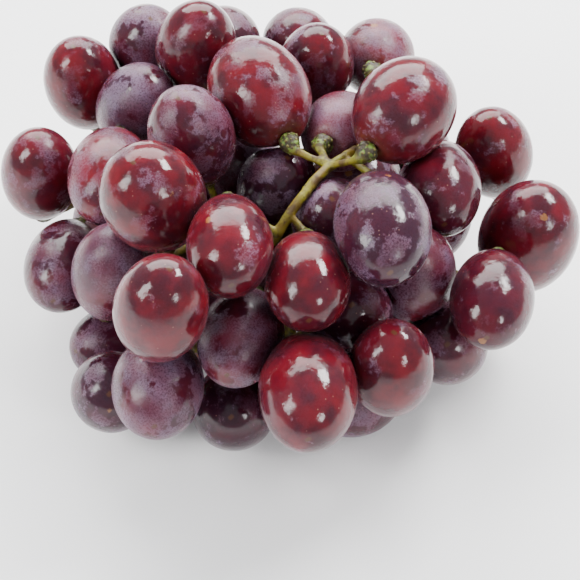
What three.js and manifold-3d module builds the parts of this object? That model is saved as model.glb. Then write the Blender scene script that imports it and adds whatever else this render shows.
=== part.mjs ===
// A bunch of red table grapes, as picked, lying on a surface. One branched stalk runs through it, and
// each grape hangs from the stalk on a pedicel that ends in a knob against the grape's stem end.
// Units are millimetres and +Z is up. The origin is on the surface, under the middle of the bunch.
//
// The grapes of the side that faces the viewer are placed by their lines of sight in one view of the
// bunch. The others are placed by a rule on the rest of the mound. All of them are then moved apart
// until they press on each other no more than ripe grapes do, and the stalk is grown to them.
import * as THREE from "three";
import { mergeVertices } from "three/addons/utils/BufferGeometryUtils.js";
import Module from "manifold-3d";

const wasm = await Module();
wasm.setup();

// Driving dimensions of the grapes
const GRAPE_COUNT = 59;
const GRAPE_WIDTH = 23.5;
const ELONGATION = 1.22; // length over width, at least for the seen grapes
const LONGEST = 1.45; // the most that a grape's length is of its width
const WIDTH_RANGE = [21.5, 26.5];
const PRESS = 1.1; // how far two neighbours' free shapes lap where they press flat
const FOOT_PRESS = 0.55; // how far the surface flattens the grapes that stand on it
const SIDES = 12; // facets round a grape, and along it
const STACKS = 7;
const FLAT_PASSES = 12; // how often a vertex is drawn back to all its flats in turn
const UNSEEN = { width: [0.96, 1.08], elongation: [1.16, 1.28], lean: 0.4 }; // ranges of the draws

// Driving dimensions of the whole mound
const MOUND = { halfLength: 77, halfDepth: 66, halfHeight: 37 };
const BELLY = 6; // the underside is this much fuller than an ellipsoid
const INNER = 0.45; // how far out the grapes inside the mound lie, of the whole
const NET = { points: 420, innerEvery: 6, horizon: 0.12 }; // the places to choose from for unseen grapes

// Driving dimensions of the stalk, as radii
const PEDUNCLE_RADIUS = 2.6;
const RACHIS_RADIUS = 2.3;
const RACHIS_END_RADIUS = 1.6;
const LATERAL_RADIUS = 1.6;
const LATERAL_END_RADIUS = 1.2;
const PEDICEL_RADIUS = 1.1;
const KNOB = { face: 2.1, radius: 2.6, length: 4.5 };
const PEDICEL_LEAST = 3; // from the back of a knob to the main stems, at least
const STATION_STEP = 6; // spacing of the rings along a main stem, and along a pedicel
const PEDICEL_STEP = 10;
const STEM_SIDES = 7; // facets round a main stem, a knob and a pedicel
const KNOB_SIDES = 5;
const PEDICEL_SIDES = 4;
const CLEARANCE = 0.3; // left between any two separate pieces
const SPARE = 0.05; // more than that between a knob's face and its grape
const WELD = 1e-4; // points closer than this are one point

// How fast the grapes find their places, each as a share of what is still lacking in one round
const SETTLE_ROUNDS = 500;
const PUSH = { grape: 0.4, knob: 0.3, stem: 0.5, knobFromStem: 0.3 };
const GUIDE = { offLine: 0.4, toLine: 0.12, home: 0.03, turn: 0.2, gather: 0.012, sink: 0.25 };
const KNOB_LIFT = 0.03; // how much a grape tips in one round to take its knob off the surface
const PARTING = { turns: 8, step: 0.7 }; // the search for the plane that parts two grapes

// How a pedicel finds its way: a cell's cost when grapes are close, and how the route is pulled straight
const CROWDING = 8;
const TIGHTEN = { rounds: 60, straighten: 0.5, push: 0.7 };

// The view that the seen grapes are measured in: its middle, scale, distance and height of view
const VIEW = { centre: [290, 229], mmPerPixel: 0.27, distance: 470, elevation: 48 };

const MOST_ACROSS = 0.62; // a seen grape lies at most this much across the view, so its knob is behind it
const STEM_ACROSS = 0.97; // and one whose stem end shows at most this much
const TIP_FIRST = 1; // how much a seen grape rather shows its tip than its stem end

// Each grape that the view shows: middle [x, y], width and height in the view's pixels, the lean of its
// long axis to the right in degrees, and how far behind the mound's own surface it lies, in millimetres.
// A grape whose stem end shows has that place too.
const SEEN = [
  { at: [84, 83], size: [80, 107], lean: -16, behind: 2 },
  { at: [40, 174], size: [76, 112], lean: -4, behind: 2 },
  { at: [146, 44], size: [66, 80], lean: 10, behind: 2 },
  { at: [195, 49], size: [80, 94], lean: 12, behind: -4 },
  { at: [224, 44], size: [66, 74], lean: 0, behind: 8 },
  { at: [137, 104], size: [76, 88], lean: 35, behind: 2 },
  { at: [193, 136], size: [86, 112], lean: -20, behind: -4 },
  { at: [260, 99], size: [100, 131], lean: -14, behind: -8, stem: [288, 145] },
  { at: [110, 176], size: [84, 102], lean: 12, behind: 6 },
  { at: [153, 198], size: [105, 113], lean: -30, behind: -8 },
  { at: [67, 266], size: [70, 112], lean: 18, behind: 16 },
  { at: [113, 271], size: [84, 102], lean: 10, behind: 12 },
  { at: [161, 309], size: [93, 108], lean: 12, behind: -8 },
  { at: [229, 245], size: [87, 112], lean: -2, behind: -10 },
  { at: [157, 386], size: [92, 104], lean: 5, behind: 0 },
  { at: [118, 346], size: [70, 92], lean: 0, behind: 22 },
  { at: [241, 337], size: [84, 106], lean: 20, behind: 2 },
  { at: [234, 408], size: [86, 86], lean: 60, behind: 14 },
  { at: [308, 391], size: [98, 118], lean: 0, behind: -2 },
  { at: [308, 281], size: [76, 102], lean: -2, behind: -3 },
  { at: [391, 368], size: [81, 100], lean: 5, behind: -4 },
  { at: [382, 228], size: [99, 124], lean: -10, behind: -13 },
  { at: [404, 110], size: [97, 113], lean: 15, behind: -12, stem: [370, 148] },
  { at: [376, 57], size: [78, 98], lean: 8, behind: -2, stem: [372, 70] },
  { at: [298, 44], size: [64, 70], lean: 0, behind: 8 },
  { at: [316, 67], size: [72, 86], lean: 10, behind: 4 },
  { at: [345, 139], size: [80, 98], lean: 20, behind: 8, stem: [328, 151] },
  { at: [440, 188], size: [84, 124], lean: -6, behind: -2 },
  { at: [494, 153], size: [72, 100], lean: -8, behind: 6 },
  { at: [528, 237], size: [100, 117], lean: 25, behind: 4 },
  { at: [492, 299], size: [85, 112], lean: 8, behind: -2 },
  { at: [418, 280], size: [78, 102], lean: 5, behind: 8 },
  { at: [284, 200], size: [76, 88], lean: 20, behind: 20 },
  { at: [324, 214], size: [70, 84], lean: 0, behind: 22 },
  { at: [352, 312], size: [74, 84], lean: 0, behind: 18 },
  { at: [440, 338], size: [70, 80], lean: 0, behind: 18 },
  { at: [112, 388], size: [70, 80], lean: 0, behind: 16 },
];

// Where the sprig that shows at the top of the bunch runs: view [x, y] and depth below the mound's skin
const SPRIG = [
  { at: [275, 238], behind: 18 },
  { at: [291, 212], behind: 13 },
  { at: [309, 188], behind: 9 },
  { at: [322, 172], behind: 8 },
  { at: [341, 159], behind: 9 },
  { at: [357, 149], behind: 11 },
];

// The stalk's main stems, from the cut end of the bare peduncle, which lies behind the bunch
const PEDUNCLE = [
  [-8, 70, 9],
  [-7, 58, 15],
  [-4, 42, 26],
];
const RACHIS = [
  [-4, 42, 26],
  [-1, 22, 32],
  [0, -6, 33],
  [0, -32, 29],
];
const SHOULDERS = [
  [[-4, 40, 27], [-20, 36, 32], [-42, 25, 32]],
  [[-3, 36, 28], [18, 36, 31], [42, 28, 30]],
  [[-1, 12, 32], [-22, 0, 33], [-44, -10, 29]],
  [[0, 6, 33], [22, -2, 33], [46, -8, 27]],
  [[0, -14, 32], [-14, -26, 29], [-30, -34, 24]],
  [[0, -16, 32], [16, -26, 29], [30, -34, 24]],
];
const SPRIG_ROOT = [-1, 6, 33];

const vec = (x, y, z) => new THREE.Vector3(x, y, z);
const clamp = THREE.MathUtils.clamp;
const radians = THREE.MathUtils.degToRad;
const UP = vec(0, 0, 1);

// A seeded draw, so that the bunch is the same every time it is built
const DRAW = { seed: 20473, factor: 1664525, step: 1013904223, range: 2 ** 32 };
let drawn = DRAW.seed;
function draw(low, high) {
  drawn = (Math.imul(drawn, DRAW.factor) + DRAW.step) >>> 0;
  return low + ((high - low) * drawn) / DRAW.range;
}

// The view's own directions, and the line of sight through one of its pixels
const elevation = radians(VIEW.elevation);
const FORWARD = vec(0, Math.cos(elevation), -Math.sin(elevation));
const UPWARD = vec(0, Math.sin(elevation), Math.cos(elevation));
const RIGHT = vec(1, 0, 0);
const HEART = vec(0, 0, MOUND.halfHeight);
const GATHER = vec(0, 8, 26); // the grapes are drawn together towards here
const EYE = HEART.clone().addScaledVector(FORWARD, -VIEW.distance);

function sightLine([x, y]) {
  return FORWARD.clone()
    .multiplyScalar(VIEW.distance)
    .addScaledVector(RIGHT, (x - VIEW.centre[0]) * VIEW.mmPerPixel)
    .addScaledVector(UPWARD, (VIEW.centre[1] - y) * VIEW.mmPerPixel)
    .normalize();
}

// The distance along a line of sight to the ellipsoid that the outer grapes' middles lie on
const halfGrape = GRAPE_WIDTH / 2;
const CORE = vec(MOUND.halfLength, MOUND.halfDepth, MOUND.halfHeight).subScalar(halfGrape);

function onMound(sight) {
  const from = EYE.clone().sub(HEART).divide(CORE);
  const along = sight.clone().divide(CORE);
  const half = from.dot(along);
  const root = Math.sqrt(Math.max(0, half * half - along.lengthSq() * (from.lengthSq() - 1)));
  return (-half - root) / along.lengthSq();
}

// A grape's free shape is an ellipsoid: its middle, its long axis from stem end to tip, its half sizes
function makeGrape(centre, axis, width, length, more = {}) {
  return { centre, axis: axis.clone().normalize(), w: width / 2, l: length / 2, ...more };
}

const stemEnd = (g, beyond = 0) => g.centre.clone().addScaledVector(g.axis, -g.l - beyond);

// How far a grape reaches from its middle in a direction, and its outermost point that way
const reach = (g, n) => Math.sqrt(g.w ** 2 + (g.l ** 2 - g.w ** 2) * g.axis.dot(n) ** 2);

function outermost(g, n) {
  const stretch = (g.l ** 2 - g.w ** 2) * g.axis.dot(n);
  return n.clone().multiplyScalar(g.w ** 2).addScaledVector(g.axis, stretch).divideScalar(reach(g, n));
}

// The direction that parts two grapes best, and the gap between them along it
function parting(a, b) {
  const between = b.centre.clone().sub(a.centre);
  const n = between.clone().normalize();
  for (let turn = 0; turn < PARTING.turns; turn++) {
    const slide = between.clone().sub(outermost(a, n)).sub(outermost(b, n));
    slide.addScaledVector(n, -slide.dot(n));
    n.addScaledVector(slide, PARTING.step / between.length()).normalize();
  }
  return { n, gap: between.dot(n) - reach(a, n) - reach(b, n) };
}

// How far a point is outside a grape's free shape, and the way out of it
function outside(g, point) {
  const from = point.clone().sub(g.centre);
  const along = from.dot(g.axis);
  const way = from.clone().addScaledVector(g.axis, -along).divideScalar(g.w ** 2);
  way.addScaledVector(g.axis, along / g.l ** 2);
  const level = Math.sqrt(way.dot(from));
  return { distance: (level * (level - 1)) / way.length(), way: way.normalize() };
}

// The main stems are set out by hand, as rings of a place and a radius at even steps
function stations(points, startRadius, endRadius) {
  const curve = new THREE.CatmullRomCurve3(points, false, "centripetal");
  const steps = Math.max(3, Math.round(curve.getLength() / STATION_STEP));
  return curve.getSpacedPoints(steps).map((place, k) => ({
    place,
    radius: THREE.MathUtils.lerp(startRadius, endRadius, k / steps),
  }));
}

const asPoints = (places) => places.map((place) => vec(...place));
const sprigPoints = SPRIG.map(({ at, behind }) => {
  const sight = sightLine(at);
  return EYE.clone().addScaledVector(sight, onMound(sight) + behind - halfGrape);
});
const peduncle = stations(asPoints(PEDUNCLE), PEDUNCLE_RADIUS, RACHIS_RADIUS);
const bearing = [
  stations(asPoints(RACHIS), RACHIS_RADIUS, RACHIS_END_RADIUS),
  ...SHOULDERS.map((places) => stations(asPoints(places), LATERAL_RADIUS, LATERAL_END_RADIUS)),
  stations([vec(...SPRIG_ROOT), ...sprigPoints], LATERAL_RADIUS, LATERAL_END_RADIUS),
];
const mainStems = [peduncle, ...bearing];
const stemStations = mainStems.flat();

const nearest = (places, point) =>
  places.reduce((a, b) => (b.distanceToSquared(point) < a.distanceToSquared(point) ? b : a));
const nearestStem = (point) => nearest(bearing.flat().map((s) => s.place), point).clone();

// The long axis of a seen grape, from how much of its length shows. Of the four ways that it can point,
// it takes the one most away from the stalk, and rather towards the viewer, as no stem end shows.
function seenAxis({ size, lean }, scale, sight, centre, width, length) {
  const shown = clamp((size[1] * scale) / width, 1, length / width);
  const across = Math.min(MOST_ACROSS, Math.sqrt((shown ** 2 - 1) / ((length / width) ** 2 - 1)));
  const long = RIGHT.clone().multiplyScalar(Math.sin(radians(lean)));
  long.addScaledVector(UPWARD, Math.cos(radians(lean)));
  const outward = centre.clone().sub(nearestStem(centre)).normalize().addScaledVector(sight, -TIP_FIRST);
  long.multiplyScalar(across * Math.sign(long.dot(outward)));
  return long.addScaledVector(sight, Math.sign(sight.dot(outward)) * Math.sqrt(1 - across ** 2));
}

// The long axis of a grape whose stem end shows
function axisFromStem({ at, stem }, scale, sight, length) {
  const flat = RIGHT.clone().multiplyScalar(at[0] - stem[0]).addScaledVector(UPWARD, stem[1] - at[1]);
  flat.multiplyScalar((2 * scale) / length).clampLength(0, STEM_ACROSS);
  return flat.addScaledVector(sight, Math.sqrt(1 - flat.lengthSq()));
}

function seenGrape(seen) {
  const sight = sightLine(seen.at);
  const depth = onMound(sight) + seen.behind;
  const scale = (depth * sight.dot(FORWARD) * VIEW.mmPerPixel) / VIEW.distance;
  const width = clamp(seen.size[0] * scale, ...WIDTH_RANGE);
  const shown = Math.max(1, (seen.size[1] * scale) / width);
  const stretch = seen.stem ? shown : Math.hypot(1, Math.sqrt(shown ** 2 - 1) / MOST_ACROSS);
  const length = width * clamp(stretch, ELONGATION, LONGEST);
  const centre = EYE.clone().addScaledVector(sight, depth);
  const axis = seen.stem
    ? axisFromStem(seen, scale, sight, length)
    : seenAxis(seen, scale, sight, centre, width, length);
  return makeGrape(centre, axis, width, length, { sight, home: centre.clone() });
}

// Places for the grapes on the sides that the view doesn't show: an even net of points on the fuller
// underside and the back, and a few points inside
function unseenPlaces() {
  const golden = Math.PI * (3 - Math.sqrt(5));
  const places = [];
  for (let i = 0; i < NET.points; i++) {
    const up = 1 - (2 * (i + 0.5)) / NET.points;
    const round = Math.sqrt(1 - up * up);
    const unit = vec(round * Math.cos(golden * i), round * Math.sin(golden * i), up);
    const out = unit.clone().multiply(CORE.clone().setZ(CORE.z + (up < 0 ? BELLY : 0)));
    const behind = unit.divide(CORE).normalize().dot(FORWARD) > NET.horizon;
    if (behind) places.push(out.clone().add(HEART));
    if (i % NET.innerEvery === 0) places.push(out.multiplyScalar(INNER).add(HEART));
  }
  places.forEach((place) => (place.z = Math.max(place.z, halfGrape)));
  return places;
}

// Each further grape goes to the free place that is furthest from all grapes so far
function addUnseen(grapes) {
  const places = unseenPlaces();
  const room = (p) => Math.min(...grapes.map((g) => g.centre.distanceTo(p)));
  while (grapes.length < GRAPE_COUNT) {
    const best = places.reduce((a, b) => (room(b) > room(a) ? b : a));
    const width = GRAPE_WIDTH * draw(...UNSEEN.width);
    const lean = vec(draw(-1, 1), draw(-1, 1), draw(-1, 1)).multiplyScalar(UNSEEN.lean);
    grapes.push(makeGrape(best.clone(), UP, width, width * draw(...UNSEEN.elongation), { lean }));
  }
}

// How two grapes push each other apart, also where one's knob meets the other
function partPair(a, b, moveA, moveB) {
  if (a.centre.distanceTo(b.centre) > a.l + b.l + KNOB.length) return;
  const { n, gap } = parting(a, b);
  const lack = Math.max(0, -PRESS - gap);
  moveA.addScaledVector(n, -PUSH.grape * lack);
  moveB.addScaledVector(n, PUSH.grape * lack);
  for (const [own, other, ownMove, otherMove] of [[a, b, moveA, moveB], [b, a, moveB, moveA]]) {
    const { distance, way } = outside(other, stemEnd(own, KNOB.length / 2));
    const short = Math.max(0, KNOB.radius + CLEARANCE - distance);
    ownMove.addScaledVector(way, PUSH.knob * short);
    otherMove.addScaledVector(way, -PUSH.knob * short);
  }
}

// How the main stems push a grape and the back of its knob away
function partFromStems(g, move) {
  const knobBack = stemEnd(g, KNOB.length);
  for (const { place, radius } of stemStations) {
    if (g.centre.distanceTo(place) > g.l + KNOB.length + PEDICEL_LEAST + radius) continue;
    const { distance, way } = outside(g, place);
    move.addScaledVector(way, -PUSH.stem * Math.max(0, radius + CLEARANCE - distance));
    const off = knobBack.clone().sub(place);
    const close = Math.max(0, PEDICEL_LEAST + radius - off.length());
    move.addScaledVector(off.normalize(), PUSH.knobFromStem * close);
  }
}

// What else moves a grape: a seen one keeps to its line of sight, and all are drawn together. One that
// isn't seen points away from the nearest stem, with a lean of its own, and sinks to the surface if low.
function guide(g, move, pull) {
  const inward = GATHER.clone().sub(g.centre);
  if (g.sight) {
    const along = g.sight.clone().multiplyScalar(move.dot(g.sight));
    move.sub(along).multiplyScalar(GUIDE.offLine).add(along);
    const home = g.home.clone().sub(g.centre);
    const aside = home.clone().addScaledVector(g.sight, -home.dot(g.sight));
    move.addScaledVector(aside, GUIDE.toLine).addScaledVector(home, GUIDE.home * pull);
  } else {
    const outward = g.centre.clone().sub(nearestStem(g.centre)).normalize().add(g.lean).normalize();
    g.axis.lerp(outward, GUIDE.turn * pull).normalize();
    move.addScaledVector(inward, GUIDE.gather * pull);
    if (g.centre.z < GRAPE_WIDTH) move.z -= GUIDE.sink * pull;
  }
}

function settle(grapes, rounds) {
  for (let round = 0; round < rounds; round++) {
    const pull = 1 - round / rounds;
    const moves = grapes.map(() => vec(0, 0, 0));
    grapes.forEach((a, i) => {
      for (let j = i + 1; j < grapes.length; j++) partPair(a, grapes[j], moves[i], moves[j]);
      partFromStems(a, moves[i]);
      guide(a, moves[i], pull);
    });
    grapes.forEach((g, i) => {
      g.centre.add(moves[i]);
      g.centre.z = Math.max(g.centre.z, reach(g, UP) - FOOT_PRESS);
      if (stemEnd(g, KNOB.length).z < KNOB.radius) {
        const outward = g.centre.clone().sub(GATHER).normalize();
        g.axis.addScaledVector(outward, KNOB_LIFT).normalize();
      }
    });
  }
}

const grapes = SEEN.map(seenGrape);
addUnseen(grapes);
settle(grapes, SETTLE_ROUNDS);

// A grid of the room between the grapes. A step costs more the closer a grape is, so the cheapest ways
// from the main stems run through the widest gaps, as a growing branch does.
const CELL = 2;
const GROWN_OUT = 1; // a pedicel keeps straight on for this much beyond its knob
const CELL_LOW = vec(-84, -78, 0);
const CELLS = [85, 80, 44];
const NEIGHBOURS = [-1, 0, 1].flatMap((i) => [-1, 0, 1].flatMap((j) => [-1, 0, 1].map((k) => [i, j, k])));

const cellIndex = (i, j, k) => (k * CELLS[1] + j) * CELLS[0] + i;
const cellSteps = (index) => [
  index % CELLS[0],
  Math.floor(index / CELLS[0]) % CELLS[1],
  Math.floor(index / (CELLS[0] * CELLS[1])),
];
const placeOf = (index) => vec(...cellSteps(index)).multiplyScalar(CELL).add(CELL_LOW);

function cellOf(point) {
  const at = point.clone().sub(CELL_LOW).divideScalar(CELL).toArray();
  return cellIndex(...at.map((value, n) => clamp(Math.round(value), 0, CELLS[n] - 1)));
}

function cellCosts() {
  const needed = PEDICEL_RADIUS + CLEARANCE;
  const costs = new Float64Array(CELLS[0] * CELLS[1] * CELLS[2]);
  return costs.map((_, index) => {
    const place = placeOf(index);
    const close = grapes.filter((g) => g.centre.distanceToSquared(place) < (g.l + needed) ** 2);
    const room = Math.min(place.z, ...close.map((g) => outside(g, place).distance));
    return 1 + CROWDING * Math.max(0, needed - room) ** 2;
  });
}

// The cheapest way from every cell back to a main stem, as each cell's next cell and its whole cost
function waysBack(sources) {
  const costs = cellCosts();
  const total = new Float64Array(costs.length).fill(Infinity);
  const next = new Int32Array(costs.length).fill(-1);
  const waiting = [sources];
  sources.forEach((source) => (total[source] = 0));
  const visit = (here, there, length) => {
    const cost = total[here] + length * 0.5 * (costs[here] + costs[there]);
    if (cost >= total[there]) return;
    total[there] = cost;
    next[there] = here;
    (waiting[Math.floor(cost)] ??= []).push(there);
  };
  for (let level = 0; level < waiting.length; level++) {
    for (const here of waiting[level] ?? []) {
      const at = cellSteps(here);
      for (const step of NEIGHBOURS) {
        const to = at.map((value, n) => value + step[n]);
        const inside = to.every((value, n) => value >= 0 && value < CELLS[n]);
        if (inside) visit(here, cellIndex(...to), Math.hypot(...step));
      }
    }
  }
  return { next, total };
}

// A route pulled straight like an elastic band, and pushed clear of the grapes. Its ends stay.
function tighten(points) {
  const clear = PEDICEL_RADIUS + CLEARANCE;
  for (let round = 0; round < TIGHTEN.rounds; round++) {
    for (let k = 1; k < points.length - 1; k++) {
      points[k].lerp(points[k - 1].clone().lerp(points[k + 1], 0.5), TIGHTEN.straighten);
      for (const g of grapes) {
        if (g.centre.distanceTo(points[k]) > g.l + clear) continue;
        const { distance, way } = outside(g, points[k]);
        points[k].addScaledVector(way, TIGHTEN.push * Math.max(0, clear - distance));
      }
      points[k].z = Math.max(points[k].z, clear);
    }
  }
  return points;
}

// A pedicel goes from its grape's stem end straight out of the knob, then by the cheapest way to a stem.
// One that meets an earlier one joins it there, so side stems form where several grapes hang close.
function growPedicels() {
  const taken = new Map(bearing.flat().map(({ place }) => [cellOf(place), place]));
  const { next, total } = waysBack([...taken.keys()]);
  const knobCell = (g) => cellOf(stemEnd(g, KNOB.length + GROWN_OUT));
  return [...grapes].sort((a, b) => total[knobCell(a)] - total[knobCell(b)]).map((grape) => {
    const cells = [];
    for (let cell = knobCell(grape); !taken.has(cell); cell = next[cell]) cells.push(cell);
    const root = taken.get(cells.length ? next[cells.at(-1)] : knobCell(grape));
    const between = cells.slice(1).filter((_, k) => k % 2 === 0).map(placeOf);
    const points = tighten([stemEnd(grape, KNOB.length), ...between, root.clone()]);
    const curve = new THREE.CatmullRomCurve3(points, false, "centripetal");
    const places = curve.getSpacedPoints(Math.max(1, Math.round(curve.getLength() / PEDICEL_STEP)));
    cells.forEach((cell) => taken.set(cell, nearest(places, placeOf(cell))));
    return places.map((place) => ({ place, radius: PEDICEL_RADIUS }));
  });
}

// A knob widens from its face on the grape, and narrows to its pedicel: shares of its length, and radii
const KNOB_SHAPE = [
  [0, KNOB.face],
  [0.35, KNOB.radius],
  [1.1, 0.8 * PEDICEL_RADIUS],
];
const knobRings = (grape) =>
  KNOB_SHAPE.map(([along, radius]) => ({ place: stemEnd(grape, along * KNOB.length), radius }));

// A closed stem through rings of a place and a radius, swelled all round where room for it is cut
const ASKEW = vec(0.3, 0.2, 1); // no stem starts out this way

function stemGeometry(rings, sides, swell) {
  const last = rings.length - 1;
  const geometry = new THREE.CylinderGeometry(1, 1, 1, sides, last);
  const tangents = rings.map((_, k) => {
    const ahead = rings[Math.min(k + 1, last)].place;
    return ahead.clone().sub(rings[Math.max(k - 1, 0)].place).normalize();
  });
  const sideways = [];
  tangents.forEach((tangent, k) => {
    const start = k ? sideways[k - 1] : ASKEW.clone().cross(tangent);
    sideways.push(start.clone().addScaledVector(tangent, -start.dot(tangent)).normalize());
  });
  const position = geometry.attributes.position;
  for (let n = 0; n < position.count; n++) {
    const k = Math.round((position.getY(n) + 0.5) * last);
    const radius = rings[k].radius + swell;
    const point = rings[k].place.clone();
    point.addScaledVector(tangents[k], (k === last ? swell : 0) - (k === 0 ? swell : 0));
    point.addScaledVector(sideways[k], position.getX(n) * radius);
    point.addScaledVector(sideways[k].clone().cross(tangents[k]), position.getZ(n) * radius);
    position.setXYZ(n, ...point.toArray());
  }
  return geometry;
}

// Between three.js geometry and the closed solids that are joined and cut
function solid(geometry) {
  const bare = geometry.clone();
  bare.deleteAttribute("normal");
  bare.deleteAttribute("uv");
  const merged = mergeVertices(bare, WELD);
  const triVerts = new Uint32Array(merged.index.array);
  return new wasm.Manifold(
    new wasm.Mesh({ numProp: 3, vertProperties: merged.attributes.position.array, triVerts }),
  );
}

function geometryOf(body) {
  const { vertProperties, triVerts } = body.getMesh();
  const geometry = new THREE.BufferGeometry();
  geometry.setAttribute("position", new THREE.BufferAttribute(vertProperties, 3));
  geometry.setIndex(new THREE.BufferAttribute(triVerts, 1));
  geometry.computeVertexNormals();
  return geometry;
}

// Joining and cutting can leave loose scraps, which are dropped
const largest = (body) => body.decompose().reduce((a, b) => (b.volume() > a.volume() ? b : a));

const pedicels = growPedicels();

function stalkSolid(swell) {
  const stems = mainStems.map((rings) => solid(stemGeometry(rings, STEM_SIDES, swell)));
  const knobs = grapes.map((grape) => solid(stemGeometry(knobRings(grape), KNOB_SIDES, swell)));
  const twigs = pedicels.map((rings) => solid(stemGeometry(rings, PEDICEL_SIDES, swell)));
  return wasm.Manifold.union([...stems, ...knobs, ...twigs]);
}

// The flats that a grape's neighbours press into it, in its own frame, and the flat under its knob
function flatsOf(grape, inward) {
  const close = grapes.filter((g) => g !== grape && g.centre.distanceTo(grape.centre) < g.l + grape.l);
  const pressed = close.map((other) => {
    const { n, gap } = parting(grape, other);
    return { at: reach(grape, n) + (Math.min(gap, 0) - CLEARANCE) / 2, n: n.applyQuaternion(inward) };
  });
  return [...pressed, { at: grape.l - CLEARANCE - SPARE, n: vec(0, 0, -1) }];
}

// A grape in its own frame, its tip up +Z: an ellipsoid of the true width between its facets and edges,
// with its vertices drawn back to the flats
function grapeGeometry(grape, inward) {
  const even = Math.sqrt((2 * Math.PI) / (SIDES * Math.sin((2 * Math.PI) / SIDES)));
  const geometry = new THREE.SphereGeometry(1, SIDES, STACKS).rotateX(Math.PI / 2);
  geometry.scale(grape.w * even, grape.w * even, grape.l);
  const flats = flatsOf(grape, inward);
  const position = geometry.attributes.position;
  const point = vec(0, 0, 0);
  for (let n = 0; n < position.count; n++) {
    point.fromBufferAttribute(position, n);
    for (let pass = 0; pass < FLAT_PASSES; pass++) {
      flats.forEach((flat) => point.addScaledVector(flat.n, Math.min(0, flat.at - point.dot(flat.n))));
    }
    position.setXYZ(n, ...point.toArray());
  }
  return geometry;
}

// Grape skin and the stalk's green bark
const skin = new THREE.MeshStandardMaterial({ color: "#7d1d2c", roughness: 0.3, metalness: 0 });
const bark = new THREE.MeshStandardMaterial({ color: "#8f9440", roughness: 0.75, metalness: 0 });

const stalk = largest(stalkSolid(0));
const stalkRoom = stalkSolid(CLEARANCE).add(stalk);
const GROUND = { across: 400, deep: 40 }; // what the grapes' feet are cut flat by
const ground = solid(
  new THREE.BoxGeometry(GROUND.across, GROUND.across, GROUND.deep).translate(0, 0, -GROUND.deep / 2),
);

function grapeMesh(grape, k) {
  const turn = new THREE.Quaternion().setFromUnitVectors(UP, grape.axis);
  const place = new THREE.Matrix4().compose(grape.centre, turn, vec(1, 1, 1));
  const free = solid(grapeGeometry(grape, turn.clone().invert()).applyMatrix4(place));
  const pressed = largest(free.subtract(stalkRoom).subtract(ground));
  const mesh = new THREE.Mesh(geometryOf(pressed).applyMatrix4(place.invert()), skin);
  mesh.position.copy(grape.centre);
  mesh.quaternion.copy(turn);
  mesh.name = `grape_${String(k + 1).padStart(2, "0")}`;
  return mesh;
}

const fruit = new THREE.Group();
fruit.name = "fruit";
fruit.add(...grapes.map(grapeMesh));

const stalkMesh = new THREE.Mesh(geometryOf(stalk), bark);
stalkMesh.name = "stalk";

const bunch = new THREE.Group();
bunch.name = "bunch_of_grapes";
bunch.add(stalkMesh, fruit);

const middle = new THREE.Box3().setFromObject(bunch, true).getCenter(vec(0, 0, 0));
bunch.position.set(-middle.x, -middle.y, 0);

export default bunch;
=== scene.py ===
# %% [markdown]
# # A bunch of red table grapes
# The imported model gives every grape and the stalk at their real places. This script keeps those forms
# and gives each its fine shape and its substance: taut skin with a pale wax bloom that is rubbed off
# in places, and a fresh green stalk that turns brown and warty at its knobs.
# Lengths in comments are in millimetres. Blender's own lengths are in metres.

import math

import bpy
import bmesh
import numpy as np
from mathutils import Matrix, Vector, noise
from mathutils.bvhtree import BVHTree
from mathutils.kdtree import KDTree


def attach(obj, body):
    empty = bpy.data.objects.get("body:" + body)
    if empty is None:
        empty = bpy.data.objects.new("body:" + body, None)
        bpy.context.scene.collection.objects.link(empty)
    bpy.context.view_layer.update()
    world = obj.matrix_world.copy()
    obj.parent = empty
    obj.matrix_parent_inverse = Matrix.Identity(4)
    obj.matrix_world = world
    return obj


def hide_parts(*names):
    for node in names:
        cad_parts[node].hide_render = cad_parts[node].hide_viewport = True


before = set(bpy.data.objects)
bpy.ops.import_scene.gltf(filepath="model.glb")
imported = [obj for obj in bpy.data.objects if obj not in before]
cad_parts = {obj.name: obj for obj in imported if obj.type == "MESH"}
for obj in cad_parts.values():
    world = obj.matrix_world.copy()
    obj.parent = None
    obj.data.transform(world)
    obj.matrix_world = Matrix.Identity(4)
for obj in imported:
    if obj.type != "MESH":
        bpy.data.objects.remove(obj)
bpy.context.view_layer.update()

MM = 0.001
stalk_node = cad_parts["stalk"]
grape_nodes = {name: node for name, node in sorted(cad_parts.items()) if name != "stalk"}

# %% [markdown]
# ## Where each grape is
# A grape of the frame is an ellipsoid with facets, pressed flat against its neighbours. The ellipsoid
# is found again from the points that are still on it: the pressed ones all lie inside it, so they are
# left out step by step.

# %% Find each grape's ellipsoid
KEPT_SHARES = (0.9, 0.8, 0.7, 0.6, 0.5)  # of the points, after each fit
FACETS_ROUND = 12  # of a grape in the frame
# A ring of facets reaches this much further out than the round ring of the same area
EVEN = math.sqrt(2 * math.pi / (FACETS_ROUND * math.sin(2 * math.pi / FACETS_ROUND)))


def node_points(node):
    """A CAD node's separate points, in millimetres."""
    flat = np.zeros(len(node.data.vertices) * 3, np.float32)
    node.data.vertices.foreach_get("co", flat)
    return np.unique(np.round(flat.reshape(-1, 3).astype(float) / MM, 4), axis=0)


def fit_quadric(points):
    """Centre and matrix A of the ellipsoid (p - centre)' A (p - centre) = 1 through the points."""
    x, y, z = points.T
    terms = np.stack([x * x, y * y, z * z, 2 * x * y, 2 * x * z, 2 * y * z, x, y, z], 1)
    a, b, c, d, e, f, g, h, i = np.linalg.lstsq(terms, np.ones(len(points)), rcond=None)[0]
    matrix = np.array([[a, d, e], [d, b, f], [e, f, c]])
    centre = -0.5 * np.linalg.solve(matrix, np.array([g, h, i]))
    return centre, matrix / (1 + centre @ matrix @ centre)


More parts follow.
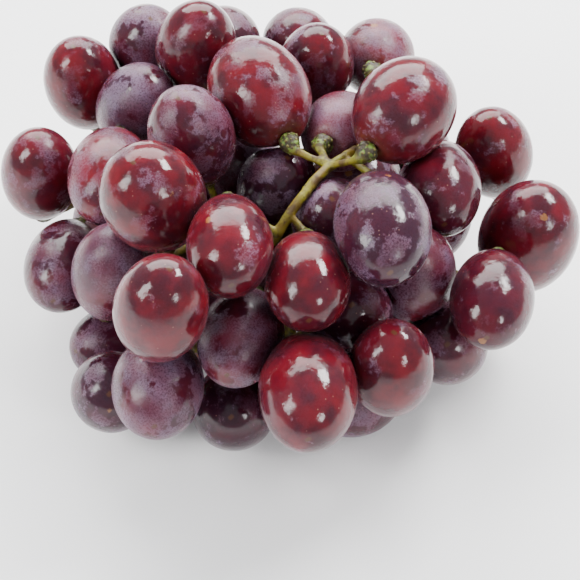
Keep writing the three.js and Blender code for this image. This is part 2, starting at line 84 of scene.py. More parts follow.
def fit_grape(node):
    """A grape's centre, an axis of either sense, and its half width and half length."""
    points = node_points(node)
    middle = points.mean(0)
    points = points - middle
    kept = points
    for share in KEPT_SHARES:
        centre, matrix = fit_quadric(kept)
        level = np.sqrt(np.einsum("ij,jk,ik->i", points - centre, matrix, points - centre))
        kept = points[level >= np.quantile(level, 1 - share)]
    centre, matrix = fit_quadric(kept)
    values, vectors = np.linalg.eigh(matrix)
    half_length, half_width = 1 / math.sqrt(values[0]), 1 / math.sqrt(values[1:].mean())
    return {
        "centre": centre + middle,
        "axis": vectors[:, 0],
        "w": half_width / EVEN,
        "l": half_length,
    }


grapes = {name: fit_grape(node) for name, node in grape_nodes.items()}
stalk_points = node_points(stalk_node)
for grape in grapes.values():
    ends = [grape["centre"] + side * grape["axis"] * grape["l"] for side in (1, -1)]
    to_stalk = [np.linalg.norm(stalk_points - end, axis=1).min() for end in ends]
    grape["stem_end"] = ends[int(np.argmin(to_stalk))]
    grape["axis"] = (grape["centre"] - grape["stem_end"]) / grape["l"]
widths = [2 * g["w"] for g in grapes.values()]
print("widths:", round(min(widths), 1), "to", round(max(widths), 1), "mm")

# %% [markdown]
# ## How the grapes press on each other
# Two ripe grapes that touch share a flat, halfway into their lap. Each grape keeps a list of its flats
# in its own frame, whose third axis runs from the stem end to the tip.

# %% Find the flats between neighbours
GAP = 0.3  # the frame leaves this between two pieces
PARTING = {"turns": 8, "step": 0.7}  # the search for the direction that parts two grapes
STEEP = 0.9  # an axis that rises more than this is steep
DOWN = np.array([0.0, 0.0, -1.0])


def reach(grape, n):
    """How far a grape reaches from its centre along the direction n."""
    return math.sqrt(grape["w"] ** 2 + (grape["l"] ** 2 - grape["w"] ** 2) * (grape["axis"] @ n) ** 2)


def outermost(grape, n):
    """The grape's outermost point along n, from its centre."""
    stretch = (grape["l"] ** 2 - grape["w"] ** 2) * (grape["axis"] @ n)
    return (grape["w"] ** 2 * n + stretch * grape["axis"]) / reach(grape, n)


def parting(a, b):
    """The direction that parts two grapes best, and the gap along it (negative where they lap)."""
    between = b["centre"] - a["centre"]
    distance = np.linalg.norm(between)
    n = between / distance
    for _ in range(PARTING["turns"]):
        slide = between - outermost(a, n) - outermost(b, n)
        n = n + (slide - slide @ n * n) * PARTING["step"] / distance
        n /= np.linalg.norm(n)
    return n, between @ n - reach(a, n) - reach(b, n)


def own_frame(axis):
    """Rows are a grape's own three directions, the last along its axis."""
    aside = np.cross(axis, [0.0, 0.0, 1.0] if abs(axis[2]) < STEEP else [1.0, 0.0, 0.0])
    aside /= np.linalg.norm(aside)
    return np.stack([aside, np.cross(axis, aside), axis])


def flats_of(name):
    """Each flat of a grape as its outward direction in the grape's own frame, and its distance."""
    grape = grapes[name]
    flats = []
    for other_name, other in grapes.items():
        apart = np.linalg.norm(other["centre"] - grape["centre"])
        if other_name == name or apart > grape["l"] + other["l"]:
            continue
        n, gap = parting(grape, other)
        if gap < GAP:
            flats.append((grape["turn"] @ n, reach(grape, n) + (min(gap, 0) - GAP) / 2))
    if grape["centre"][2] < reach(grape, DOWN):
        flats.append((grape["turn"] @ DOWN, grape["centre"][2]))
    return flats


for grape in grapes.values():
    grape["turn"] = own_frame(grape["axis"])
for name, grape in grapes.items():
    grape["flats"] = flats_of(name)
print("flats:", sum(len(g["flats"]) for g in grapes.values()))

# %% [markdown]
# ## The stalk
# The frame's stalk is a union of stems with few sides. A copy is remeshed finely and smoothed until the
# stems are round, and then grown back by a little more than the smoothing took off.

# %% Round the stalk
WELD = 0.001 * MM
STALK_VOXEL = 0.44 * MM
STALK_SMOOTHING = {"factor": 0.5, "iterations": 9}
STALK_REGAIN = 0.16 * MM


def link(obj):
    bpy.context.scene.collection.objects.link(obj)
    return obj


def applied(obj):
    """obj with its modifiers made real."""
    depsgraph = bpy.context.evaluated_depsgraph_get()
    mesh = bpy.data.meshes.new_from_object(obj.evaluated_get(depsgraph))
    obj.modifiers.clear()
    obj.data = mesh
    return obj


def merged_copy(node, name):
    """A copy of a node, without materials, whose faces share their points."""
    mesh = node.data.copy()
    mesh.materials.clear()
    bm = bmesh.new()
    bm.from_mesh(mesh)
    bmesh.ops.remove_doubles(bm, verts=bm.verts, dist=WELD)
    bm.to_mesh(mesh)
    bm.free()
    return link(bpy.data.objects.new(name, mesh))


def round_stalk():
    obj = merged_copy(stalk_node, "stalk_fine")
    remesh = obj.modifiers.new("fine", "REMESH")
    remesh.mode = "VOXEL"
    remesh.voxel_size = STALK_VOXEL
    smooth = obj.modifiers.new("round", "SMOOTH")
    smooth.factor = STALK_SMOOTHING["factor"]
    smooth.iterations = STALK_SMOOTHING["iterations"]
    grow = obj.modifiers.new("regain", "DISPLACE")
    grow.mid_level = 0
    grow.strength = STALK_REGAIN
    return applied(obj)


stalk = round_stalk()
print("stalk triangles:", 2 * len(stalk.data.polygons))

# %% Knobs swell, stems carry small ribs
KNOB_REACH = (3.4, 6.5)  # full knob colour and warts within, none beyond
KNOB_SWELL = 0.45
KNOB_LUMPS = {"per_mm": 1.6, "high": 0.30}
STEM_RIBS = {"per_mm": 0.55, "high": 0.16}

stem_ends = KDTree(len(grapes))
for index, grape in enumerate(grapes.values()):
    stem_ends.insert(Vector(grape["stem_end"]), index)
stem_ends.balance()


def ramp(value, low, high):
    t = min(1.0, max(0.0, (value - low) / (high - low)))
    return t * t * (3 - 2 * t)


def relief(place, bumps):
    """How high the bumps stand at a place."""
    return noise.noise(place / MM * bumps["per_mm"]) * bumps["high"]


def point_values(mesh, name, values):
    made = mesh.attributes.new(name, "FLOAT", "POINT")
    made.data.foreach_set("value", np.asarray(values, np.float32))


def shape_stalk(obj):
    """Lumps and ribs move the points a little along their normals, and the knob share is kept."""
    places = [vertex.co.copy() for vertex in obj.data.vertices]
    normals = [vertex.normal.copy() for vertex in obj.data.vertices]
    knob_share = []
    for index, (place, normal) in enumerate(zip(places, normals)):
        knob = 1 - ramp(stem_ends.find(place / MM)[2], *KNOB_REACH)
        height = relief(place, KNOB_LUMPS) * knob + relief(place, STEM_RIBS) + KNOB_SWELL * knob
        places[index] = place + normal * height * MM
        knob_share.append(knob)
    obj.data.vertices.foreach_set("co", np.array(places).ravel())
    obj.data.update()
    point_values(obj.data, "knob", knob_share)


shape_stalk(stalk)
stalk_tree = BVHTree.FromObject(stalk, bpy.context.evaluated_depsgraph_get())

# %% [markdown]
# ## The grapes' fine shape
# Each grape starts as an even net of directions. The distance of its skin along each is the smooth
# least of its ellipsoid and its flats, so pressed places meet the free skin in a soft edge. A dimple
# holds the knob, the tip has a small dent, and nothing in nature is quite round. Where a stem runs
# close, the skin gives way and leaves it a groove.

# %% An even net of directions
NET = 20  # squares along each edge of the cube that the net is drawn on


def net_of_directions():
    """Unit directions and the squares between them, from a cube with a grid on each face."""
    bm = bmesh.new()
    bmesh.ops.create_cube(bm, size=2)
    bmesh.ops.subdivide_edges(bm, edges=bm.edges, cuts=NET - 1, use_grid_fill=True)
    bm.verts.ensure_lookup_table()
    cube = np.array([v.co for v in bm.verts])
    faces = [[v.index for v in face.verts] for face in bm.faces]
    bm.free()
    even = np.tan(cube * math.pi / 4)
    return even / np.linalg.norm(even, axis=1)[:, None], faces


DIRECTIONS, NET_FACES = net_of_directions()
print("net:", len(DIRECTIONS), "points,", len(NET_FACES), "faces a grape")

# %% The skin of one grape
SOFTNESS = 30  # higher is a harder edge round the flats
LEAST_FACING = 0.3  # a flat presses only the skin that faces it more than this
LUMPS = {"often": 1.1, "high": 0.010, "sunk": 0.5}  # high as a share of the grape's size, sunk of high
LUMPS_APART = 7.3  # from one grape's place in the noise to the next one's
DIMPLE = {"deep": 0.75, "wide": 2.9}
RIM = {"high": 0.16, "at": 1.6 * DIMPLE["wide"], "wide": 1.4}
TIP_DENT = {"deep": 0.22, "wide": 0.9}
STEM_SIDE_REACH = 4.5
TIP_SIDE_REACH = 1.1
STALK_GAP = 0.45  # left round the stalk, so that the faces between two points clear it too
STALK_STEP = 0.1  # a point near the stalk moves in by at least this much in one step
STALK_STEPS = 40
STEM_WIDTH = 2.5  # nothing is deeper in the stalk than this


def bell(distance, wide):
    return np.exp(-((distance / wide) ** 2))


def skin_radius(grape, seed):
    """Distance of the skin from the grape's centre along each direction."""
    across = (DIRECTIONS[:, 0] ** 2 + DIRECTIONS[:, 1] ** 2) / grape["w"] ** 2
    free = 1 / np.sqrt(across + DIRECTIONS[:, 2] ** 2 / grape["l"] ** 2)
    lumps = np.array([noise.noise(Vector(d * LUMPS["often"]) + Vector((seed, 0, 0))) for d in DIRECTIONS])
    total = (free * (1 + LUMPS["high"] * (lumps - LUMPS["sunk"]))) ** -SOFTNESS
    for n, at in grape["flats"]:
        facing = DIRECTIONS @ n
        pressed = np.where(facing > LEAST_FACING, at / np.maximum(facing, LEAST_FACING), np.inf)
        total += pressed ** -SOFTNESS
    return total ** (-1 / SOFTNESS)


def ends_shape(points):
    """How much deeper the skin lies at the knob's dimple and at the tip."""
    from_axis = np.hypot(points[:, 0], points[:, 1])
    dimple = DIMPLE["deep"] * bell(from_axis, DIMPLE["wide"])
    dimple -= RIM["high"] * bell(from_axis - RIM["at"], RIM["wide"])
    dent = TIP_DENT["deep"] * bell(from_axis, TIP_DENT["wide"])
    return np.where(points[:, 2] < 0, dimple, dent)


def from_stalk(place):
    """How far a point is from the stalk's skin, negative inside it."""
    hit, normal, _, distance = stalk_tree.find_nearest(Vector(place) * MM, STEM_WIDTH * MM)
    if hit is None:
        return STEM_WIDTH
    outside = (Vector(place) * MM - hit).dot(normal) >= 0
    return distance / MM if outside else -distance / MM


def clear_of_stalk(places, centre):
    """Draws points in towards the grape's centre until they clear the stalk, so a stem lies in a groove."""
    for place in places:
        for _ in range(STALK_STEPS):
            lack = STALK_GAP - from_stalk(place)
            if lack <= 0:
                break
            inward = centre - place
            place += inward / np.linalg.norm(inward) * max(lack, STALK_STEP)
    return places


def grape_mesh(name, grape, seed):
    points = DIRECTIONS * skin_radius(grape, seed)[:, None]
    points -= DIRECTIONS * ends_shape(points)[:, None]
    places = clear_of_stalk(points @ grape["turn"] + grape["centre"], grape["centre"])
    places[:, 2] = np.maximum(places[:, 2], 0.0)
    mesh = bpy.data.meshes.new(name)
    mesh.from_pydata((places * MM).tolist(), [], NET_FACES)
    mesh.shade_smooth()
    from_axis = np.hypot(points[:, 0], points[:, 1])
    point_values(mesh, "stem_side", bell(from_axis, STEM_SIDE_REACH) * (points[:, 2] < 0))
    point_values(mesh, "tip_side", bell(from_axis, TIP_SIDE_REACH) * (points[:, 2] > 0))
    return mesh


# %% [markdown]
# ## Colour of each grape
# Most are wine red. Some are riper and nearly purple, and some still have most of their bloom. The
# grapes that the photograph shows follow it, and the others take a seeded draw.

# %% Tone and bloom of each grape
PURPLE = {1: 0.25, 2: 0.4, 3: 0.6, 4: 0.45, 5: 0.55, 6: 0.7, 7: 0.55, 8: 0.3, 9: 0.3, 10: 0.2}
PURPLE |= {11: 0.6, 12: 0.55, 13: 0.3, 14: 0.35, 15: 0.65, 16: 0.7, 17: 0.6, 18: 0.8, 19: 0.35, 20: 0.3}
PURPLE |= {21: 0.4, 22: 0.85, 23: 0.35, 24: 0.25, 25: 0.5, 26: 0.4, 27: 0.35, 28: 0.5, 29: 0.2, 30: 0.35}
PURPLE |= {31: 0.6, 32: 0.5, 33: 0.8, 34: 0.7, 35: 0.7, 36: 0.6, 37: 0.75}
BLOOM = {1: 0.3, 2: 0.4, 3: 0.65, 4: 0.35, 5: 0.5, 6: 0.75, 7: 0.5, 8: 0.4, 9: 0.55, 10: 0.25}
BLOOM |= {11: 0.5, 12: 0.8, 13: 0.15, 14: 0.2, 15: 0.75, 16: 0.6, 17: 0.7, 18: 0.35, 19: 0.15, 20: 0.1}
BLOOM |= {21: 0.15, 22: 0.45, 23: 0.35, 24: 0.7, 25: 0.55, 26: 0.4, 27: 1.0, 28: 0.35, 29: 0.25, 30: 0.25}
BLOOM |= {31: 0.2, 32: 0.65, 33: 0.5, 34: 0.5, 35: 0.5, 36: 0.45, 37: 0.5}
PURPLE_DRAWN = (0.2, 0.8)
BLOOM_DRAWN = (0.35, 0.75)
draw = np.random.default_rng(20473)


def grape_tones(number):
    """How purple a grape is, and how much of its bloom is left, both 0 to 1."""
    drawn = draw.uniform(*PURPLE_DRAWN), draw.uniform(*BLOOM_DRAWN)
    return PURPLE.get(number, drawn[0]), BLOOM.get(number, drawn[1])


print("seen grapes:", len(PURPLE), "of which with most of their bloom:", sum(b > 0.6 for b in BLOOM.values()))

# %% [markdown]
# ## Materials
# One small function adds a node with its settings and its inputs. Colours are sRGB hex values. A
# pattern is noise with blotches of some size: between its two levels it changes smoothly from one
# value to the other.

# %% Node helpers
MIX_COLOURS = (6, 7)  # the colour sockets of a Mix node, and its colour result
MIX_RESULT = 2


def linear(hex_colour):
    """A linear RGBA colour from an sRGB hex value."""
    parts = [int(hex_colour[i : i + 2], 16) / 255 for i in (1, 3, 5)]
    return [p / 12.92 if p <= 0.04045 else ((p + 0.055) / 1.055) ** 2.4 for p in parts] + [1.0]


def feed(tree, socket, value):
    """Links a socket to another one, or sets a plain value on it."""
    if isinstance(value, bpy.types.NodeSocket):
        tree.links.new(value, socket)
    else:
        socket.default_value = value


def add(tree, kind, inputs=None, **settings):
    """A node with its settings. An input takes a value, or a socket to link from."""
    made = tree.nodes.new(kind)
    for key, value in settings.items():
        setattr(made, key, value)
    for key, value in (inputs or {}).items():
        feed(tree, made.inputs[key], value)
    return made


def mix(tree, share, first, second):
    """A blend of two colours, each a hex value or a socket."""
    made = add(tree, "ShaderNodeMix", {0: share}, data_type="RGBA")
    for slot, value in zip(MIX_COLOURS, (first, second)):
        feed(tree, made.inputs[slot], linear(value) if isinstance(value, str) else value)
    return made.outputs[MIX_RESULT]


def maths(tree, operation, first, second):
    return add(tree, "ShaderNodeMath", {0: first, 1: second}, operation=operation).outputs[0]


def between(tree, value, levels, to=(0.0, 1.0)):
    """value taken from its two levels to two values, smoothly and no further."""
    sockets = {"Value": value, "From Min": levels[0], "From Max": levels[1], "To Min": to[0], "To Max": to[1]}
    return add(tree, "ShaderNodeMapRange", sockets, interpolation_type="SMOOTHSTEP").outputs[0]


def spots(tree, where, size, detail=3.0, roughness=0.5):
    """Noise whose blotches are about size millimetres wide."""
    inputs = {"Vector": where, "Scale": 1 / (size * MM), "Detail": detail, "Roughness": roughness}
    return add(tree, "ShaderNodeTexNoise", inputs).outputs["Fac"]


def pattern(tree, where, levels, to=(0.0, 1.0), **blotches):
    return between(tree, spots(tree, where, **blotches), levels, to)


def cell_distance(tree, where, size):
    """Distance from the middle of the nearest of many scattered cells, in shares of their size."""
    return add(tree, "ShaderNodeTexVoronoi", {"Vector": where, "Scale": 1 / (size * MM)}).outputs["Distance"]


def attribute(tree, name):
    return add(tree, "ShaderNodeAttribute", attribute_name=name).outputs["Fac"]


def new_material(name):
    """A material, its tree, the places that patterns are laid out by, and its shader."""
    material = bpy.data.materials.new(name)
    material.use_nodes = True
    tree = material.node_tree
    tree.nodes.clear()
    where = add(tree, "ShaderNodeTexCoord").outputs["Object"]
    shader = add(tree, "ShaderNodeBsdfPrincipled")
    add(tree, "ShaderNodeOutputMaterial", {"Surface": shader.outputs[0]})
    return material, tree, where, shader


def plug(tree, shader, values):
    for name, value in values.items():
        feed(tree, shader.inputs[name], value)


# %% [markdown]
# **Grape skin.** A clear waxy skin over red flesh: light goes a few millimetres in, so the shaded side
# stays warm. The bloom is a wax dust, pale lilac and matt, in patches with torn edges where the skin
# was rubbed. Rubbed skin is as glossy as a wet plum. Pale pores of about 0.3 mm sit 2.4 mm apart.

# %% Bloom
FILM = {"size": 12.0, "levels": (0.36, 0.62), "to": (0.4, 1.0)}
GRAIN = {"size": 0.5, "detail": 4.0, "roughness": 0.85, "levels": (0.4, 0.56), "to": (0.35, 1.0)}
LARGE_PATCHES = {"size": 8.0, "roughness": 0.55}
TORN_EDGES = {"size": 1.8, "detail": 5.0, "roughness": 0.7}
LARGE_SHARE = 0.72
TORN_SHARE = 0.28
RUBBED = {"edge": 0.64, "less_with_bloom": 0.30}  # patches above the edge keep their bloom
KEPT = {"levels": (-0.012, 0.04), "to": (0.12, 1.0)}
LEAST_THICKNESS = 0.5  # of the bloom on a grape that has nearly none, of the full one


def bloom_mask(tree, where):
    """How thick the bloom is: a film that thins out softly, rubbed off with torn edges, and dusty."""
    amount = attribute(tree, "bloom")
    large = maths(tree, "MULTIPLY", spots(tree, where, **LARGE_PATCHES), LARGE_SHARE)
    torn = maths(tree, "MULTIPLY", spots(tree, where, **TORN_EDGES), TORN_SHARE)
    edge = maths(tree, "SUBTRACT", RUBBED["edge"], maths(tree, "MULTIPLY", amount, RUBBED["less_with_bloom"]))
    kept = between(tree, maths(tree, "SUBTRACT", maths(tree, "ADD", large, torn), edge), **KEPT)
    film = maths(tree, "MULTIPLY", kept, pattern(tree, where, **FILM))
    dusty = maths(tree, "MULTIPLY", film, pattern(tree, where, **GRAIN))
    share = maths(tree, "ADD", maths(tree, "MULTIPLY", amount, 1 - LEAST_THICKNESS), LEAST_THICKNESS)
    return maths(tree, "MULTIPLY", dusty, share)


# %% Grape skin
FLESH = {"red": "#600b14", "deep": "#38070e", "ripe": "#260918"}
CLOUDS = {"size": 11.0}  # of ripeness, about their middle
NOISE_MIDDLE = 0.5
FULL_RANGE = (0.0, 1.0)
DEEP_PATCHES = {"size": 6.0, "levels": (0.35, 0.7)}
HALO = {"colour": "#8f5238", "share": 0.3}  # round the stem end
VEIL = {"dull": "#8b5f7b", "pale": "#a389ab", "share": 0.38}  # the colour of the bloom
PALE_PATCHES = {"size": 9.0, "levels": (0.4, 0.65)}
PORES = {"colour": "#b58a78", "apart": 2.4, "levels": (0.04, 0.09), "to": (0.28, 0.0)}
SCABS = {"colour": "#875a33", "apart": 17.0, "levels": (0.015, 0.03), "to": (0.75, 0.0)}
SCAB_EDGE = {"size": 1.2, "roughness": 0.7}
SCAB_EDGE_HIGH = 0.08
TIP_SCAR = {"colour": "#4a2c1e", "levels": (0.35, 0.75)}
GLOSS = {"rubbed": 0.11, "more_with_bloom": 0.40}  # as roughness
BLOOM_RELIEF = {"Strength": 0.5, "Distance": 0.07 * MM}
SKIN_WAVES = {"Strength": 0.6, "Distance": 0.3 * MM}
WAVE_SIZE = 3.2
SKIN_LOOK = {
    "IOR": 1.38,
    "Subsurface Weight": 0.18,
    "Subsurface Scale": 2.5 * MM,
    "Subsurface Radius": (1.0, 0.18, 0.12),
    "Sheen Weight": 0.03,
    "Sheen Roughness": 0.35,
    "Sheen Tint": linear("#e6d9e8"),
}


def flesh_colour(tree, where):
    cloudy = maths(tree, "SUBTRACT", spots(tree, where, **CLOUDS), NOISE_MIDDLE)
    ripe = between(tree, maths(tree, "ADD", attribute(tree, "tone"), cloudy), FULL_RANGE)
    red = mix(tree, pattern(tree, where, **DEEP_PATCHES), FLESH["red"], FLESH["deep"])
    halo = maths(tree, "MULTIPLY", attribute(tree, "stem_side"), HALO["share"])
    return mix(tree, halo, mix(tree, ripe, red, FLESH["ripe"]), HALO["colour"])


def marked(tree, where, colour):
    """A colour with pores, scabs and the scar at the tip laid over it."""
    pores = between(tree, cell_distance(tree, where, PORES["apart"]), PORES["levels"], PORES["to"])
    torn = maths(tree, "MULTIPLY", spots(tree, where, **SCAB_EDGE), SCAB_EDGE_HIGH)
    to_scab = maths(tree, "SUBTRACT", cell_distance(tree, where, SCABS["apart"]), torn)
    scabs = between(tree, to_scab, SCABS["levels"], SCABS["to"])
    scar = between(tree, attribute(tree, "tip_side"), TIP_SCAR["levels"])
    for share, mark in ((pores, PORES), (scabs, SCABS), (scar, TIP_SCAR)):
        colour = mix(tree, share, colour, mark["colour"])
    return colour


def skin_normal(tree, where, bloom):
    """The bloom stands out a little on a skin that is softly wavy."""
    fine = add(tree, "ShaderNodeBump", {"Height": bloom, **BLOOM_RELIEF})
    waves = {"Height": spots(tree, where, WAVE_SIZE), "Normal": fine.outputs[0], **SKIN_WAVES}
    return add(tree, "ShaderNodeBump", waves).outputs[0]


def grape_skin():
    material, tree, where, shader = new_material("grape_skin_with_bloom")
    bloom = bloom_mask(tree, where)
    veil = mix(tree, pattern(tree, where, **PALE_PATCHES), VEIL["dull"], VEIL["pale"])
    veiled = mix(tree, maths(tree, "MULTIPLY", bloom, VEIL["share"]), flesh_colour(tree, where), veil)
    rough = maths(tree, "ADD", GLOSS["rubbed"], maths(tree, "MULTIPLY", bloom, GLOSS["more_with_bloom"]))
    plug(tree, shader, {"Base Color": marked(tree, where, veiled), "Roughness": rough})
    plug(tree, shader, {"Normal": skin_normal(tree, where, bloom), **SKIN_LOOK})
    return material


# %% [markdown]
# **Stalk.** Fresh green wood: a soft matt skin, yellow-green where it grew in the light, browner on the
# main stems. The knobs are olive and brown with raised corky warts.

# %% Stalk bark
BARK = {"green": "#7a7416", "brown": "#6c5712", "blotch": "#432b10", "fleck": "#362410"}
KNOB = {"green": "#5d7a2b", "brown": "#1d160b", "share": 0.9}
BROWN_PATCHES = {"size": 7.0, "levels": (0.4, 0.6)}
BLOTCHES = {"size": 3.0, "detail": 4.0, "levels": (0.46, 0.58), "to": (0.0, 0.85)}
KNOB_PATCHES = {"size": 1.6, "detail": 4.0, "levels": (0.38, 0.5)}
FLECKS = {"size": 0.7, "detail": 4.0, "roughness": 0.7, "levels": (0.56, 0.66), "to": (0.0, 0.75)}
BARK_GRAIN = {"size": 0.6, "detail": 5.0, "roughness": 0.7}
BARK_RELIEF = {"Strength": 0.8, "Distance": 0.2 * MM}
BARK_LOOK = {"Roughness": 0.5, "IOR": 1.45, "Subsurface Weight": 0.06, "Subsurface Scale": 1.0 * MM}


def stalk_bark():
    material, tree, where, shader = new_material("stalk_bark")
    green = mix(tree, pattern(tree, where, **BROWN_PATCHES), BARK["green"], BARK["brown"])
    stems = mix(tree, pattern(tree, where, **BLOTCHES), green, BARK["blotch"])
    knobs = mix(tree, pattern(tree, where, **KNOB_PATCHES), KNOB["green"], KNOB["brown"])
    colour = mix(tree, maths(tree, "MULTIPLY", attribute(tree, "knob"), KNOB["share"]), stems, knobs)
    colour = mix(tree, pattern(tree, where, **FLECKS), colour, BARK["fleck"])
    bump = {"Height": spots(tree, where, **BARK_GRAIN), **BARK_RELIEF}
    normal = add(tree, "ShaderNodeBump", bump).outputs[0]
    plug(tree, shader, {"Base Color": colour, "Normal": normal, **BARK_LOOK})
    return material


skin = grape_skin()
bark = stalk_bark()
print("nodes:", len(skin.node_tree.nodes), "in the skin,", len(bark.node_tree.nodes), "in the bark")

# %% [markdown]
# ## Build the grapes and the stalk on the frame
# Every fine piece rides the frame's one body and takes the place of its plain solid.

# %% Grapes
triangles = 0
for seed, (name, grape) in enumerate(grapes.items()):
    piece = link(bpy.data.objects.new("fine_" + name, grape_mesh(name, grape, LUMPS_APART * seed)))
    tone, bloom = grape_tones(int(name[-2:]))
    count = len(piece.data.vertices)
    point_values(piece.data, "tone", [tone] * count)
    point_values(piece.data, "bloom", [bloom] * count)
    piece.data.materials.append(skin)
    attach(piece, "root")
    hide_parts(name)
    triangles += 2 * len(piece.data.polygons)
print("grape triangles:", triangles)

# %% Stalk
stalk.data.shade_smooth()
stalk.data.materials.append(bark)
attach(stalk, "root")
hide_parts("stalk")
print("stalk points:", len(stalk.data.vertices))

# %% [markdown]
# ## Warts on the knobs
# Corky warts of 0.4 to 1 mm crowd on the knobs and thin out along the stems. Geometry nodes spread
# them over the stalk's skin, and the result is kept as a plain mesh.

# %% Warts by geometry nodes
WARTS = {"Spacing": 1.2 * MM, "Least": 0.2 * MM, "Most": 0.48 * MM, "Seed": 11}
WARTS_ON = {"stems": 0.015, "knobs": 0.9}  # shares of the full crowd
WART_CROWD = 1.5e6  # a square metre
WART_FINENESS = 2
WART_FLATNESS = 0.55
WART_COLOURS = ("#66602a", "#3d2c14")
WART_PATCHES = {"size": 0.8, "levels": (0.4, 0.65)}
WART_ROUGHNESS = 0.7
DRAW_LEAST, DRAW_MOST, DRAW_RESULT = 2, 3, 1  # the plain number sockets of a Random Value node


def wart_inputs(tree):
    """The wart tree's inputs, as sockets to link from."""
    tree.interface.new_socket("Geometry", in_out="INPUT", socket_type="NodeSocketGeometry")
    for label, value in WARTS.items():
        kind = "NodeSocketInt" if isinstance(value, int) else "NodeSocketFloat"
        tree.interface.new_socket(label, in_out="INPUT", socket_type=kind).default_value = value
    tree.interface.new_socket("Geometry", in_out="OUTPUT", socket_type="NodeSocketGeometry")
    return add(tree, "NodeGroupInput").outputs


def wart_tree(material):
    tree = bpy.data.node_groups.new("corky_warts", "GeometryNodeTree")
    given = wart_inputs(tree)
    knob = add(tree, "GeometryNodeInputNamedAttribute", {"Name": "knob"}, data_type="FLOAT").outputs[0]
    crowd = maths(tree, "ADD", WARTS_ON["stems"], maths(tree, "MULTIPLY", knob, WARTS_ON["knobs"]))
    spread = {"Mesh": given["Geometry"], "Distance Min": given["Spacing"], "Density Max": WART_CROWD}
    spread |= {"Density Factor": crowd, "Seed": given["Seed"]}
    points = add(tree, "GeometryNodeDistributePointsOnFaces", spread, distribute_method="POISSON").outputs
    sizes = {DRAW_LEAST: given["Least"], DRAW_MOST: given["Most"]}
    size = add(tree, "FunctionNodeRandomValue", sizes, data_type="FLOAT").outputs[DRAW_RESULT]
    ball = add(tree, "GeometryNodeMeshIcoSphere", {"Radius": 1.0, "Subdivisions": WART_FINENESS}).outputs[0]
    pressed = {"Geometry": ball, "Scale": (1.0, 1.0, WART_FLATNESS)}
    flat = add(tree, "GeometryNodeTransform", pressed).outputs[0]
    placed = {"Points": points["Points"], "Instance": flat, "Rotation": points["Rotation"], "Scale": size}
    warts = add(tree, "GeometryNodeInstanceOnPoints", placed).outputs[0]
    real = add(tree, "GeometryNodeRealizeInstances", {"Geometry": warts}).outputs[0]
    finished = add(tree, "GeometryNodeSetMaterial", {"Geometry": real, "Material": material}).outputs[0]
    add(tree, "NodeGroupOutput", {"Geometry": finished})
    return tree


def set_input(modifier, label, value):
    items = modifier.node_group.interface.items_tree
    identifier = next(s.identifier for s in items if s.name == label and s.in_out == "INPUT")
    modifier[identifier] = value


def corky_warts():
    material, tree, where, shader = new_material("corky_wart")
    colour = mix(tree, pattern(tree, where, **WART_PATCHES), *WART_COLOURS)
    plug(tree, shader, {"Base Color": colour, "Roughness": WART_ROUGHNESS})
    obj = link(bpy.data.objects.new("stalk_warts", stalk.data.copy()))
    modifier = obj.modifiers.new("warts", "NODES")
    modifier.node_group = wart_tree(material)
    for label, value in WARTS.items():
        set_input(modifier, label, value)
    obj = applied(obj)
    obj.data.shade_smooth()
    return obj


warts = corky_warts()
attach(warts, "root")
print("wart triangles:", len(warts.data.polygons))

# %% [markdown]
# ## Stage, light and camera
# A pale floor and soft studio light. The camera looks down at the bunch from the front, as the
# photograph does, and the heart of the bunch lies above the middle of the picture.

# %% Floor
FLOOR_HALF = 3.0
FLOOR_COLOUR = "#fafafa"
FLOOR_ROUGHNESS = 0.9


def floor():
    bm = bmesh.new()
    bmesh.ops.create_grid(bm, x_segments=1, y_segments=1, size=FLOOR_HALF)
    mesh = bpy.data.meshes.new("floor")
    bm.to_mesh(mesh)
    bm.free()
    material, tree, _, shader = new_material("pale_paper")
    plug(tree, shader, {"Base Color": linear(FLOOR_COLOUR), "Roughness": FLOOR_ROUGHNESS})
    mesh.materials.append(material)
    return link(bpy.data.objects.new("floor", mesh))


floor()
print("floor:", 2 * FLOOR_HALF, "m across")

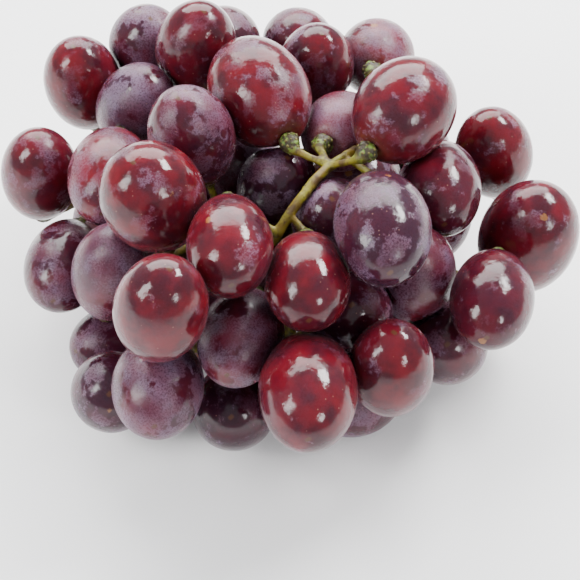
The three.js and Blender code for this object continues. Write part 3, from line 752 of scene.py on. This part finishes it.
# %% Light
TARGET = Vector((1.02, -0.75, 37.0)) * MM  # the heart of the bunch
WORLD = {"Color": linear("#f4f6fa"), "Strength": 0.92}
SOFTBOXES = {  # place and size in metres, and power in watts
    "wall_behind": ((-0.10, 0.85, 0.70), (1.3, 0.7), 36.0),
    "key_right": ((0.42, 0.30, 0.60), (0.30, 0.18), 10.0),
    "fill_left": ((-0.50, -0.20, 0.42), (0.22, 0.34), 5.0),
    "low_right": ((0.42, -0.50, 0.38), (0.14, 0.18), 2.0),
}


def aim(obj, target):
    obj.rotation_euler = (target - obj.location).to_track_quat("-Z", "Y").to_euler()


def softbox(name, place, size, power):
    data = bpy.data.lights.new(name, "AREA")
    data.shape = "RECTANGLE"
    data.size, data.size_y = size
    data.energy = power
    obj = link(bpy.data.objects.new(name, data))
    obj.location = place
    aim(obj, TARGET)


world = bpy.data.worlds.new("studio")
bpy.context.scene.world = world
world.use_nodes = True
plug(world.node_tree, world.node_tree.nodes["Background"], WORLD)
for name, box in SOFTBOXES.items():
    softbox(name, *box)
print("softboxes:", ", ".join(SOFTBOXES))

# %% Camera
PHOTO_WIDTH = 580  # in pixels, and its height too
MM_PER_PIXEL = 0.27  # at the heart of the bunch
HEART_ROW = 229  # the photograph's row that the heart is on
VIEW_HEIGHT = 48  # degrees above the floor
VIEW_DISTANCE = 0.470
VIEW_WIDTH = PHOTO_WIDTH * MM_PER_PIXEL * MM  # of what the picture takes in at that distance
LENS_RISE = (PHOTO_WIDTH / 2 - HEART_ROW) / PHOTO_WIDTH  # the heart above the picture's middle
SENSOR_WIDTH = 36


def camera():
    data = bpy.data.cameras.new("camera")
    data.sensor_width = SENSOR_WIDTH
    data.lens = data.sensor_width * VIEW_DISTANCE / VIEW_WIDTH
    data.shift_y = -LENS_RISE
    data.dof.use_dof = False
    obj = link(bpy.data.objects.new("camera", data))
    rise = math.radians(VIEW_HEIGHT)
    obj.location = TARGET + Vector((0, -math.cos(rise), math.sin(rise))) * VIEW_DISTANCE
    aim(obj, TARGET)
    bpy.context.scene.camera = obj
    print("lens:", round(data.lens, 1), "mm")


camera()
